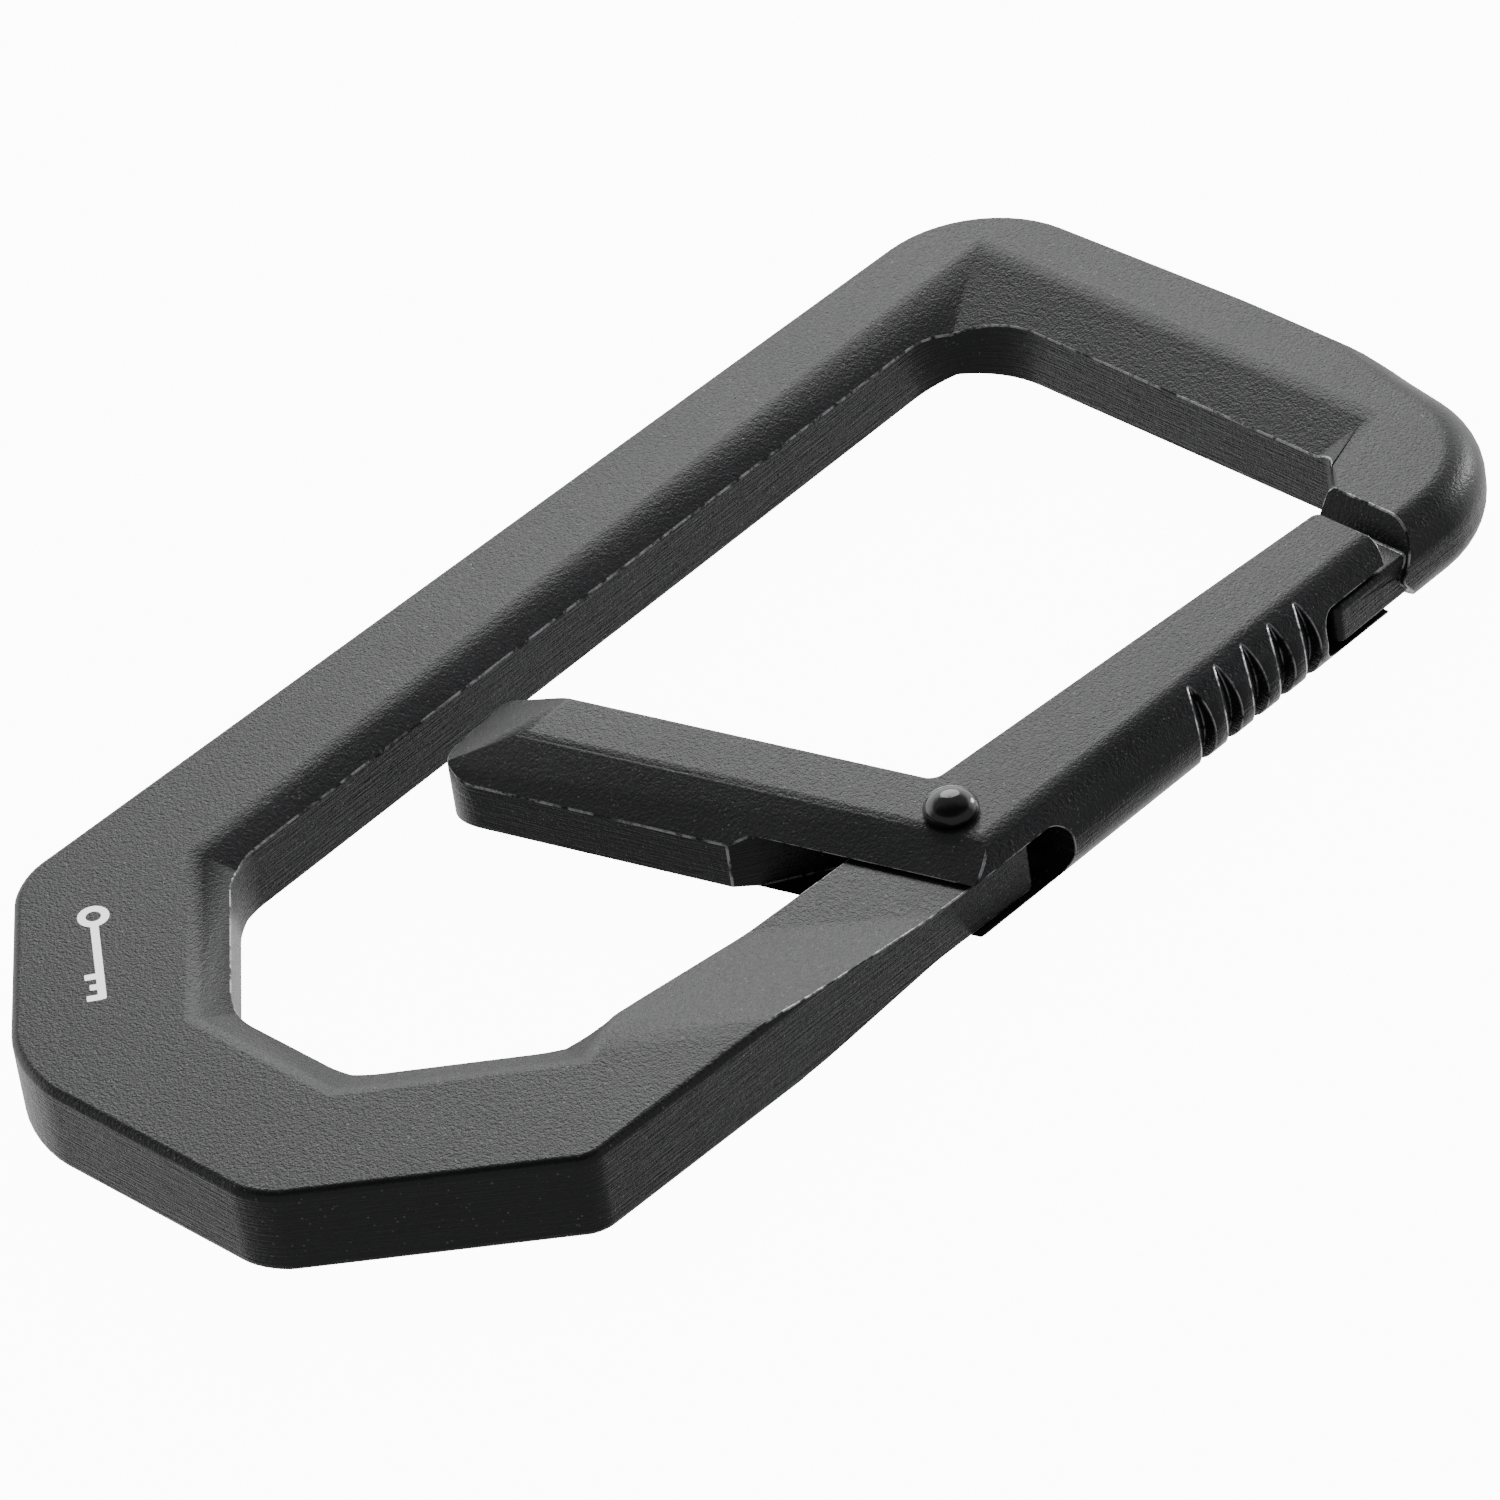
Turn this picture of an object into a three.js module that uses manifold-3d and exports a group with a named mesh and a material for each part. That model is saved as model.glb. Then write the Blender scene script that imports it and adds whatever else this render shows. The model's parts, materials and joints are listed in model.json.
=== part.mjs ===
// Carabiner keyring: a one-piece forged frame with a clip side and a key side,
// closed by one sprung lever that is both the gate and the divider between the two sides.
// Millimetres. X runs along the length towards the nose, Y from the lever to the spine, Z up.
// Everything is laid out around the hinge pin, then moved so that the origin is the middle of the underside.
import * as THREE from 'three';
import { ConvexGeometry } from 'three/addons/geometries/ConvexGeometry.js';
import { mergeVertices } from 'three/addons/utils/BufferGeometryUtils.js';
import Module from 'manifold-3d';

const wasm = await Module();
wasm.setup();

// Frame
const THICKNESS = 4.8;
const MIDDLE = THICKNESS / 2;
const HINGE_PLACE = new THREE.Vector3(0.1, -14.96, 0); // the hinge pin, from the middle of the underside
const LEFT = -39.6;
const RIGHT = 39.4;
const SPINE_OUTSIDE_Y = 34.45;
const NOSE_SIDE_Y = -4.5;
const NOSE_INSIDE_X = 31.85;
const EDGE_ROUNDING = 0.4;
const SPINE_CHAMFER_WIDTH = 2.1;
const SPINE_CHAMFER_DEPTH = 0.85;
const NOSE_CHAMFER_WIDTH = 3.55;
const NOSE_CHAMFER_DEPTH = 0.55;
const NOSE_FACE_TOP_X = 29.7; // the nose ends in a blunt wedge with the tab on it
const NOSE_FACE_SLOPE = 0.73;

// Latch tab on the nose
const TAB_END_X = 23.4;
const TAB_HEIGHT = 2.2;
const TAB_INNER_Y = -0.5;
const TAB_OUTER_Y = -4.15;

// Hinge tongue at the end of the frame's leg
const TONGUE_THICKNESS = 2.7;
const LEG_THIN_FROM_X = -17.5;
const LEG_THIN_TO_X = -10.5;
const TONGUE_HOLE_RADIUS = 0.85;
const CAM_START = 1.45; // from the hinge pin to the plunger's face line
const CAM_LEAD = 0.6; // plunger travel per radian of swing, mm
const SWING = THREE.MathUtils.degToRad(30);

// Lever
const ROUND_SIDE = 2.35; // radius of the half-round outer side
const ARM_END_X = 27.83;
const ARM_END_SLOPE = 0.6;
const ARM_INNER_HINGE_Y = 1.5;
const ARM_INNER_NOSE_Y = 0.72;
const DIVIDER_ANGLE = THREE.MathUtils.degToRad(105.5);
const DIVIDER_BACK = -2.1; // across the divider, from the hinge pin
const DIVIDER_FRONT = 4.6;
const DIVIDER_END_Y = 25;
const DIVIDER_CHAMFER_START = 1.2;
const DIVIDER_CHAMFER_SLOPE = 0.32;
const TIP_SLOPE = 0.33;
const TIP_SLOPE_START_Y = 21.5;
const HINGE_SLOT_HEIGHT = 3.1;
const HINGE_SLOT_END_X = 4;
const TAB_SLOT_HEIGHT = 2.8;
const TAB_SLOT_END_X = 22.3;
const TAB_SLOT_INNER_Y = -0.2;

// Finger grooves on the lever
const GROOVE_COUNT = 5;
const GROOVE_FIRST_X = 13.85;
const GROOVE_PITCH = 1.97;
const GROOVE_WIDTH = 1.2;
const GROOVE_AXIS_Y = -0.16;
const GROOVE_DEEP_RADIUS = 3.56;
const GROOVE_SHALLOW_RADIUS = 4.4;

// Hinge pin
const PIN_RADIUS = 0.65;
const PIN_HEAD_RADIUS = 1.38;
const PIN_HEAD_HEIGHT = 1.05;
const PIN_TAIL_RADIUS = 1.1;
const PIN_TAIL_HEIGHT = 0.6;
const PIN_CLEARANCE = 0.12;

// Plunger and spring in the lever's bore
const BORE_Y = -0.35;
const BORE_RADIUS = 1.15;
const BORE_END_X = 15.2;
const PLUNGER_RADIUS = 1.0;
const PLUNGER_GAP = 0.1;
const PLUNGER_END_X = 7.4;
const SPRING_RADIUS = 0.78;
const SPRING_WIRE_RADIUS = 0.16;
const SPRING_TURNS = 9;

const blackMetal = new THREE.MeshStandardMaterial({ color: 0x4a4a4e, roughness: 0.55, metalness: 0.85 });
const glossBlack = new THREE.MeshStandardMaterial({ color: 0x1c1c1f, roughness: 0.15, metalness: 0.9 });
const springSteel = new THREE.MeshStandardMaterial({ color: 0x9a9ca0, roughness: 0.35, metalness: 1.0 });

// A closed outline from corners [x, y, radius].
function roundedShape(corners) {
  const shape = new THREE.Shape();
  const count = corners.length;
  corners.forEach(([x, y, radius = 0], i) => {
    const corner = new THREE.Vector2(x, y);
    if (radius === 0) {
      if (i === 0) shape.moveTo(x, y);
      else shape.lineTo(x, y);
      return;
    }
    const [beforeX, beforeY] = corners[(i + count - 1) % count];
    const [afterX, afterY] = corners[(i + 1) % count];
    const before = new THREE.Vector2(beforeX, beforeY).sub(corner).normalize();
    const after = new THREE.Vector2(afterX, afterY).sub(corner).normalize();
    const half = before.angleTo(after) / 2;
    const reach = radius / Math.tan(half);
    const start = corner.clone().addScaledVector(before, reach);
    const end = corner.clone().addScaledVector(after, reach);
    const inward = before.clone().add(after).normalize();
    const centre = corner.clone().addScaledVector(inward, radius / Math.sin(half));
    if (i === 0) shape.moveTo(start.x, start.y);
    else shape.lineTo(start.x, start.y);
    const startAngle = start.sub(centre).angle();
    const endAngle = end.sub(centre).angle();
    shape.absarc(centre.x, centre.y, radius, startAngle, endAngle, before.cross(after) > 0);
  });
  return shape;
}

// A flat plate from z = low to z = high with quarter-round edges.
function plate(shape, low, high, rounding = 0, steps = 2) {
  const geometry = new THREE.ExtrudeGeometry(shape, {
    depth: high - low - 2 * rounding,
    curveSegments: 5,
    bevelEnabled: rounding > 0,
    bevelThickness: rounding,
    bevelSize: rounding,
    bevelOffset: -rounding,
    bevelSegments: steps,
  });
  return geometry.translate(0, 0, low + rounding);
}

// A bar with its outline in X and Z, from y = low to y = high.
function crossBar(shape, low, high) {
  const geometry = new THREE.ExtrudeGeometry(shape, { depth: high - low, curveSegments: 5, bevelEnabled: false });
  return geometry.rotateX(Math.PI / 2).translate(0, high, 0);
}

function convex(points) {
  return new ConvexGeometry(points.map(([x, y, z]) => new THREE.Vector3(x, y, z)));
}

// The same shape on the underside: a mirror image in the middle plane.
function mirrored(geometry) {
  const flipped = geometry.clone().scale(1, 1, -1).translate(0, 0, THICKNESS);
  const index = flipped.index ?? new THREE.BufferAttribute(
    Uint32Array.from({ length: flipped.attributes.position.count }, (_, i) => i), 1);
  for (let i = 0; i < index.count; i += 3) {
    const swap = index.getX(i);
    index.setX(i, index.getX(i + 1));
    index.setX(i + 1, swap);
  }
  flipped.setIndex(index);
  return flipped;
}

function solid(geometry) {
  const bare = geometry.clone();
  bare.deleteAttribute('normal');
  bare.deleteAttribute('uv');
  const merged = mergeVertices(bare);
  return new wasm.Manifold(new wasm.Mesh({
    numProp: 3,
    vertProperties: Float32Array.from(merged.attributes.position.array),
    triVerts: Uint32Array.from(merged.index.array),
  }));
}

function cutAll(body, cutters) {
  return cutters.reduce((rest, cutter) => rest.subtract(solid(cutter)), body);
}

function meshOf(name, body, material) {
  const { vertProperties, triVerts } = body.getMesh();
  const geometry = new THREE.BufferGeometry();
  geometry.setAttribute('position', new THREE.BufferAttribute(vertProperties, 3));
  geometry.setIndex(new THREE.BufferAttribute(triVerts, 1));
  geometry.translate(HINGE_PLACE.x, HINGE_PLACE.y, HINGE_PLACE.z);
  geometry.computeVertexNormals();
  const mesh = new THREE.Mesh(geometry, material);
  mesh.name = name;
  return mesh;
}

function cylinderAlongX(radius, from, to, y, z, sides = 28) {
  const geometry = new THREE.CylinderGeometry(radius, radius, to - from, sides);
  return geometry.rotateZ(Math.PI / 2).translate((from + to) / 2, y, z);
}

function cylinderAlongZ(radius, low, high, sides = 32) {
  const geometry = new THREE.CylinderGeometry(radius, radius, high - low, sides);
  return geometry.rotateX(Math.PI / 2).translate(0, 0, (low + high) / 2);
}

// Along and across the divider, measured from the hinge pin; across is positive on the key side.
function onDivider(along, across) {
  const cos = Math.cos(DIVIDER_ANGLE);
  const sin = Math.sin(DIVIDER_ANGLE);
  return [along * cos - across * sin, along * sin + across * cos];
}

// The involute face that pushes the plunger: travel grows evenly with the swing.
function camPoint(angle) {
  const lift = CAM_START + CAM_LEAD * angle;
  const cos = Math.cos(angle);
  const sin = Math.sin(angle);
  return [lift * cos - CAM_LEAD * sin, lift * sin + CAM_LEAD * cos];
}

function frameOutline() {
  const camSteps = 4;
  const cam = [];
  for (let i = 0; i <= camSteps; i++) cam.push(camPoint((SWING * i) / camSteps));
  return roundedShape([
    [27, NOSE_SIDE_Y],
    [39.25, NOSE_SIDE_Y, 7.5],
    [RIGHT, 15, 60],
    [38.75, 33.35, 6.5],
    [-29.5, SPINE_OUTSIDE_Y, 4],
    [LEFT, 24.35, 7],
    [LEFT, 8.15, 6],
    [-28.4, -3.05, 4],
    [1.35, -3.7],
    [1.45, -1.2],
    ...cam,
    [0.5, 1.6],
    [-0.5, 1.8],
    [-3, 2.65],
    [-22.6, 3.55, 5],
    [-30.15, 11.05, 3.5],
    [-30.15, 19, 3.5],
    [-22.3, 26.85, 4],
    [NOSE_INSIDE_X, 27.5, 4.5],
    [NOSE_INSIDE_X, 2.2, 2],
    [29.6, 1.5],
    [27, 1.5],
  ]);
}

// Keeps the flat faces of the nose and rolls its gate side over into a half round.
function noseEnvelope() {
  const rounded = plate(roundedShape([
    [15, NOSE_SIDE_Y],
    [39.3, NOSE_SIDE_Y, 7],
    [42.5, 14],
    [42.5, 30],
    [15, 30],
  ]), 0, THICKNESS, ROUND_SIDE, 6);
  const rest = plate(roundedShape([[-50, -20], [20, -20], [20, 14], [50, 14], [50, 50], [-50, 50]]), 0, THICKNESS);
  return solid(rounded).add(solid(rest));
}

// Takes the leg down from full thickness to the tongue in a smooth curve.
function legThinning() {
  const depth = (THICKNESS - TONGUE_THICKNESS) / 2;
  const steps = 8;
  const points = [[LEG_THIN_FROM_X, THICKNESS + 1]];
  for (let i = 0; i <= steps; i++) {
    const share = i / steps;
    const x = THREE.MathUtils.lerp(LEG_THIN_FROM_X, LEG_THIN_TO_X, share);
    points.push([x, THICKNESS + 0.001 - depth * THREE.MathUtils.smoothstep(share, 0, 1)]);
  }
  points.push([6, THICKNESS - depth], [6, THICKNESS + 1]);
  return crossBar(roundedShape(points.reverse()), -8, 8);
}

// The bevel along the spine's inner edge, running out towards the key end.
function spineBevel() {
  const low = THICKNESS - SPINE_CHAMFER_DEPTH;
  const above = THICKNESS + 1;
  const noseEnd = { x: 34, y: 29.6 };
  const keyEnd = { x: -17, y: 28.6 };
  const section = ({ x, y }) => [
    [x, y - SPINE_CHAMFER_WIDTH - 0.6, low - 0.24],
    [x, y, THICKNESS],
    [x, y, above],
    [x, y - SPINE_CHAMFER_WIDTH - 0.6, above],
  ];
  const runOut = [[-25.5, 25.5, THICKNESS], [-25.5, 28.4, THICKNESS], [-25.5, 25.5, above], [-25.5, 28.4, above]];
  return [convex([...section(noseEnd), ...section(keyEnd)]), convex([...section(keyEnd), ...runOut])];
}

// The wide shallow bevel along the nose bar's inner edge.
function noseBevel() {
  const low = THICKNESS - NOSE_CHAMFER_DEPTH;
  const above = THICKNESS + 1;
  const inside = NOSE_INSIDE_X - 0.6;
  const drop = (NOSE_CHAMFER_DEPTH * 0.6) / NOSE_CHAMFER_WIDTH;
  const section = (y) => [
    [inside, y, low - drop],
    [NOSE_INSIDE_X + NOSE_CHAMFER_WIDTH, y, THICKNESS],
    [NOSE_INSIDE_X + NOSE_CHAMFER_WIDTH, y, above],
    [inside, y, above],
  ];
  const runOut = [[29.6, 1.4, THICKNESS], [35, 3.2, THICKNESS], [29.6, 1.4, above], [35, 3.2, above]];
  return [convex([...section(31), ...section(5.2)]), convex([...section(5.2), ...runOut])];
}

// Cuts the nose's end to a blunt wedge: the outline in X and Z of what is taken away.
function noseFaceCutter() {
  const middleX = NOSE_FACE_TOP_X - NOSE_FACE_SLOPE * MIDDLE;
  return crossBar(roundedShape([
    [middleX - 6, -1],
    [NOSE_FACE_TOP_X + NOSE_FACE_SLOPE, -1],
    [middleX, MIDDLE],
    [NOSE_FACE_TOP_X + NOSE_FACE_SLOPE, THICKNESS + 1],
    [middleX - 6, THICKNESS + 1],
  ]), -8, 4);
}

function frame() {
  const outline = solid(plate(frameOutline(), 0, THICKNESS, EDGE_ROUNDING));
  const top = [legThinning(), ...spineBevel(), ...noseBevel()];
  const cutters = [...top, ...top.map(mirrored), noseFaceCutter(), cylinderAlongZ(TONGUE_HOLE_RADIUS, -1, 7)];
  const tab = plate(roundedShape([
    [TAB_END_X, TAB_OUTER_Y, 0.4],
    [33, TAB_OUTER_Y],
    [33, TAB_INNER_Y],
    [TAB_END_X, TAB_INNER_Y, 0.4],
  ]), MIDDLE - TAB_HEIGHT / 2, MIDDLE + TAB_HEIGHT / 2, 0.15);
  const body = cutAll(outline.intersect(noseEnvelope()), cutters).add(solid(tab));
  return meshOf('frame', body, blackMetal);
}

function leverOutline() {
  return roundedShape([
    [ARM_END_X, NOSE_SIDE_Y - 0.4],
    [ARM_END_X, ARM_INNER_NOSE_Y, 0.5],
    [...onDivider(1.97, DIVIDER_BACK), 0.7],
    [-4.85, DIVIDER_END_Y + 0.1, 0.6],
    [-11.5, DIVIDER_END_Y - 0.6, 1.4],
    [-3.5, NOSE_SIDE_Y - 0.4, 2.6],
  ]);
}

// Rolls the lever's outer side over into a half round, fading out up the divider.
function leverEnvelope() {
  return solid(plate(roundedShape([
    [45, NOSE_SIDE_Y],
    [45, 45],
    [-25, 45],
    [-25, 10],
    [-3.6, NOSE_SIDE_Y, 3],
  ]), 0, THICKNESS, ROUND_SIDE, 6));
}

function dividerBevel() {
  const outside = 3.8;
  const low = THICKNESS - DIVIDER_CHAMFER_SLOPE * outside;
  const section = (along) => [
    [...onDivider(along, DIVIDER_CHAMFER_START), THICKNESS],
    [...onDivider(along, DIVIDER_CHAMFER_START + outside), low],
    [...onDivider(along, DIVIDER_CHAMFER_START + outside), THICKNESS + 1],
    [...onDivider(along, DIVIDER_CHAMFER_START), THICKNESS + 1],
  ];
  return convex([...section(-6), ...section(30)]);
}

function tipBevel() {
  const reach = 6;
  const section = (x) => [
    [x, TIP_SLOPE_START_Y, THICKNESS],
    [x, TIP_SLOPE_START_Y + reach, THICKNESS - TIP_SLOPE * reach],
    [x, TIP_SLOPE_START_Y + reach, THICKNESS + 1],
    [x, TIP_SLOPE_START_Y, THICKNESS + 1],
  ];
  return convex([...section(-16), ...section(2)]);
}

// The slot that takes the frame's tongue, and most of the leg when the lever is open.
function hingeSlot() {
  return plate(roundedShape([
    [HINGE_SLOT_END_X, -8],
    [HINGE_SLOT_END_X, 0.85],
    [2.1, 0.85],
    onDivider(1.1, -1.76),
    onDivider(2.2, -1.76),
    [...onDivider(10.6, 5.2), 1],
    onDivider(10.6, 12),
    [-16, -8],
  ]), MIDDLE - HINGE_SLOT_HEIGHT / 2, MIDDLE + HINGE_SLOT_HEIGHT / 2, 0.5, 3);
}

function tabSlot() {
  const half = TAB_SLOT_HEIGHT / 2;
  return crossBar(roundedShape([
    [TAB_SLOT_END_X, MIDDLE - half, 0.9],
    [30, MIDDLE - half],
    [30, MIDDLE + half],
    [TAB_SLOT_END_X, MIDDLE + half, 0.9],
  ]), -8, TAB_SLOT_INNER_Y);
}

// The lever's end is hollowed to a shallow V that matches the nose's wedge.
function armEndCutter() {
  return crossBar(roundedShape([
    [ARM_END_X - ARM_END_SLOPE * MIDDLE, MIDDLE],
    [ARM_END_X + ARM_END_SLOPE, -1],
    [32, -1],
    [32, THICKNESS + 1],
    [ARM_END_X + ARM_END_SLOPE, THICKNESS + 1],
  ]), -8, 4);
}

function fingerGrooves() {
  const profile = [
    new THREE.Vector2(GROOVE_DEEP_RADIUS, 0),
    new THREE.Vector2(GROOVE_SHALLOW_RADIUS, -GROOVE_WIDTH),
    new THREE.Vector2(6, -GROOVE_WIDTH),
    new THREE.Vector2(6, 0),
    new THREE.Vector2(GROOVE_DEEP_RADIUS, 0),
  ];
  const cutters = [];
  for (let i = 0; i < GROOVE_COUNT; i++) {
    const ring = new THREE.LatheGeometry(profile, 40);
    ring.rotateZ(-Math.PI / 2);
    cutters.push(ring.translate(GROOVE_FIRST_X + i * GROOVE_PITCH, GROOVE_AXIS_Y, MIDDLE));
  }
  return cutters;
}

function pinHole() {
  const shank = PIN_RADIUS + PIN_CLEARANCE;
  const tail = PIN_TAIL_RADIUS + PIN_CLEARANCE;
  const profile = [[0, -1], [tail, -1], [tail, 0.1], [shank, PIN_TAIL_HEIGHT + 0.1], [shank, 7], [0, 7]];
  const geometry = new THREE.LatheGeometry(profile.map(([r, z]) => new THREE.Vector2(r, z)), 32);
  return geometry.rotateX(Math.PI / 2);
}

function lever() {
  const outline = solid(plate(leverOutline(), 0, THICKNESS, 0.25));
  const bevels = [dividerBevel(), tipBevel()];
  const bore = cylinderAlongX(BORE_RADIUS, HINGE_SLOT_END_X - 1, BORE_END_X, BORE_Y, MIDDLE);
  const body = cutAll(outline.intersect(leverEnvelope()), [
    ...bevels,
    ...bevels.map(mirrored),
    armEndCutter(),
    hingeSlot(),
    tabSlot(),
    ...fingerGrooves(),
    bore,
    pinHole(),
  ]);
  return meshOf('gate_lever', body, blackMetal);
}

// A turned pin: flush tail below, straight shank, domed head above.
function hingePin() {
  const headBase = THICKNESS + 0.05;
  const points = [
    [0, 0.03],
    [PIN_TAIL_RADIUS, 0.03],
    [PIN_RADIUS, PIN_TAIL_HEIGHT],
    [PIN_RADIUS, headBase],
    [PIN_HEAD_RADIUS, headBase],
  ];
  const steps = 7;
  for (let i = 1; i <= steps; i++) {
    const angle = (Math.PI / 2) * (i / steps);
    const radius = i === steps ? 0 : PIN_HEAD_RADIUS * Math.cos(angle);
    points.push([radius, headBase + 0.12 + (PIN_HEAD_HEIGHT - 0.12) * Math.sin(angle)]);
  }
  const geometry = new THREE.LatheGeometry(points.map(([r, z]) => new THREE.Vector2(r, z)), 36);
  return meshOf('hinge_pin', solid(geometry.rotateX(Math.PI / 2)), glossBlack);
}

function plunger() {
  const face = CAM_START + PLUNGER_GAP;
  const chamfer = 0.12;
  const points = [
    [0, face],
    [PLUNGER_RADIUS - chamfer / 3, face],
    [PLUNGER_RADIUS, face + chamfer],
    [PLUNGER_RADIUS, PLUNGER_END_X - 1.4],
    [0.45, PLUNGER_END_X - 1.4],
    [0.45, PLUNGER_END_X],
    [0, PLUNGER_END_X],
  ];
  const geometry = new THREE.LatheGeometry(points.map(([r, x]) => new THREE.Vector2(r, x)), 28);
  geometry.rotateZ(-Math.PI / 2).translate(0, BORE_Y, MIDDLE);
  return meshOf('gate_plunger', solid(geometry), springSteel);
}

class Helix extends THREE.Curve {
  getPoint(t, target = new THREE.Vector3()) {
    const angle = 2 * Math.PI * SPRING_TURNS * t;
    const start = PLUNGER_END_X - 1.4 + SPRING_WIRE_RADIUS + 0.1;
    const end = BORE_END_X - SPRING_WIRE_RADIUS - 0.1;
    return target.set(
      THREE.MathUtils.lerp(start, end, t),
      BORE_Y + SPRING_RADIUS * Math.cos(angle),
      MIDDLE + SPRING_RADIUS * Math.sin(angle));
  }
}

function spring() {
  const wire = new THREE.Shape().absarc(0, 0, SPRING_WIRE_RADIUS, 0, 2 * Math.PI, false);
  const geometry = new THREE.ExtrudeGeometry(wire, {
    steps: SPRING_TURNS * 16,
    curveSegments: 4,
    extrudePath: new Helix(),
    bevelEnabled: false,
  });
  return meshOf('gate_spring', solid(geometry), springSteel);
}

const carabiner = new THREE.Group();
carabiner.name = 'carabiner_keyring';
carabiner.add(frame(), lever(), hingePin(), plunger(), spring());
export default carabiner;
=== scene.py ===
"""A carabiner keyring: the looks of its frame, gate lever, hinge pin and inner pieces."""

import json
import math

import bmesh
import bpy
from mathutils import Matrix, Vector


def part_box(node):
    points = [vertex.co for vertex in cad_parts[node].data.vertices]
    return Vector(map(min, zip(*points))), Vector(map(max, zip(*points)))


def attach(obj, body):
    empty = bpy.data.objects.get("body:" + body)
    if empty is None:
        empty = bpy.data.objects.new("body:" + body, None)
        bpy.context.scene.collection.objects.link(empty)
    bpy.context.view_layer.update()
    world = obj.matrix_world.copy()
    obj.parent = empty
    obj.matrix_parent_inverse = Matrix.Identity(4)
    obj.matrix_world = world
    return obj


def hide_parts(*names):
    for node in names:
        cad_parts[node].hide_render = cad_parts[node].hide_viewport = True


bl_info = {
    "name": "Carabiner Keyring",
    "version": (1, 0, 0),
    "blender": (4, 5, 0),
    "location": "View3D > Sidebar > Keyring",
    "description": "Models a carabiner keyring around its packed frame",
    "category": "Object",
}

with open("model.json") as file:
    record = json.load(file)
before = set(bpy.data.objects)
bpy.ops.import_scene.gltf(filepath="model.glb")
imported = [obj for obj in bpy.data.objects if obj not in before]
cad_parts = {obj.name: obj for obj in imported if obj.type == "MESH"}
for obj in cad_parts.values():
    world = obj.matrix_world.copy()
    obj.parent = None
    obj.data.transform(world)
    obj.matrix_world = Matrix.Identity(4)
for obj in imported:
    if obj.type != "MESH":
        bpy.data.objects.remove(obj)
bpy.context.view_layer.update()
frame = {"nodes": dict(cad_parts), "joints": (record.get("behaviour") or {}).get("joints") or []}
LOW, HIGH = (Vector(corner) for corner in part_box("frame"))
HINGE = Vector(next(joint["pos_m"] for joint in frame["joints"] if joint["name"] == "gate_hinge"))
PIN_LOW, PIN_HIGH = (Vector(corner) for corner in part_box("hinge_pin"))

# Pieces are modelled in millimetres around the hinge pin's middle, then brought to size.
MM = 0.001
LEFT = (LOW.x - HINGE.x) / MM
RIGHT = (HIGH.x - HINGE.x) / MM
SPINE_OUTSIDE = (HIGH.y - HINGE.y) / MM
GATE_SIDE = (LOW.y - HINGE.y) / MM
NOSE_INSIDE = 31.85
ARM_END = 27.83
DIVIDER_ANGLE = math.radians(105.5)

# How far a cutter's crease, or the printed mark, stands off the flat face.
CLEAR = 0.004
# Length of a tool that goes right through the plate.
THROUGH = 8
# Radius of the ring of points that every outline starts from.
SPREAD = 60
ROD_SIDES = 64
SPIN_STEPS = 96


# ---------------------------------------------------------------- modelling


def only(*pieces):
    """Selects these pieces alone and makes the last one active."""
    bpy.ops.object.select_all(action="DESELECT")
    for piece in pieces:
        piece.select_set(True)
    if pieces:
        bpy.context.view_layer.objects.active = pieces[-1]


def edit(piece):
    """Opens a piece's mesh for editing."""
    only(piece)
    bpy.ops.object.mode_set(mode="EDIT")


def done():
    """Closes the mesh that is being edited."""
    bpy.ops.object.mode_set(mode="OBJECT")


def pick(piece, kind, test):
    """Selects, in edit mode, the vertices, edges or faces that pass a test."""
    bpy.ops.mesh.select_mode(type=kind)
    bpy.ops.mesh.select_all(action="DESELECT")
    mesh = bmesh.from_edit_mesh(piece.data)
    mesh.normal_update()
    chosen = {"VERT": mesh.verts, "EDGE": mesh.edges, "FACE": mesh.faces}[kind]
    for element in chosen:
        if test(element):
            element.select_set(True)
    mesh.select_flush_mode()
    bmesh.update_edit_mesh(piece.data)


def middle_of(edge):
    """The point half way along an edge."""
    return (edge.verts[0].co + edge.verts[1].co) / 2


def settle():
    """Merges doubled points of the mesh being edited and turns its faces outwards."""
    bpy.ops.mesh.select_all(action="SELECT")
    bpy.ops.mesh.remove_doubles(threshold=0.0005)
    bpy.ops.mesh.normals_make_consistent(inside=False)


def put(piece, turn=(0, 0, 0), place=(0, 0, 0)):
    """Turns and moves a piece, and applies that to its mesh."""
    only(piece)
    piece.rotation_euler = turn
    piece.location = place
    bpy.ops.object.transform_apply(location=True, rotation=True, scale=True)
    return piece


def finish_modifier(piece, kind, **settings):
    """Adds one modifier with these settings and applies it."""
    only(piece)
    bpy.ops.object.modifier_add(type=kind)
    modifier = piece.modifiers[-1]
    for name, value in settings.items():
        setattr(modifier, name, value)
    bpy.ops.object.modifier_apply(modifier=modifier.name)


def place_points(piece, places):
    """Moves each point of the mesh being edited to its place in the list."""
    for i, place in enumerate(places):
        pick(piece, "VERT", lambda vertex, i=i: vertex.index == i)
        points = bmesh.from_edit_mesh(piece.data).verts
        points.ensure_lookup_table()
        bpy.ops.transform.translate(value=Vector(place) - points[i].co)


def outline(name, corners, level):
    """A flat face with these corners (x, y, radius), at one level."""
    only()
    bpy.ops.mesh.primitive_circle_add(
        vertices=len(corners), radius=SPREAD, fill_type="NGON", location=(0, 0, level)
    )
    piece = bpy.context.object
    piece.name = name
    bpy.ops.object.transform_apply(location=True)
    edit(piece)
    place_points(piece, [(corner[0], corner[1], level) for corner in corners])
    done()
    return piece


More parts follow.
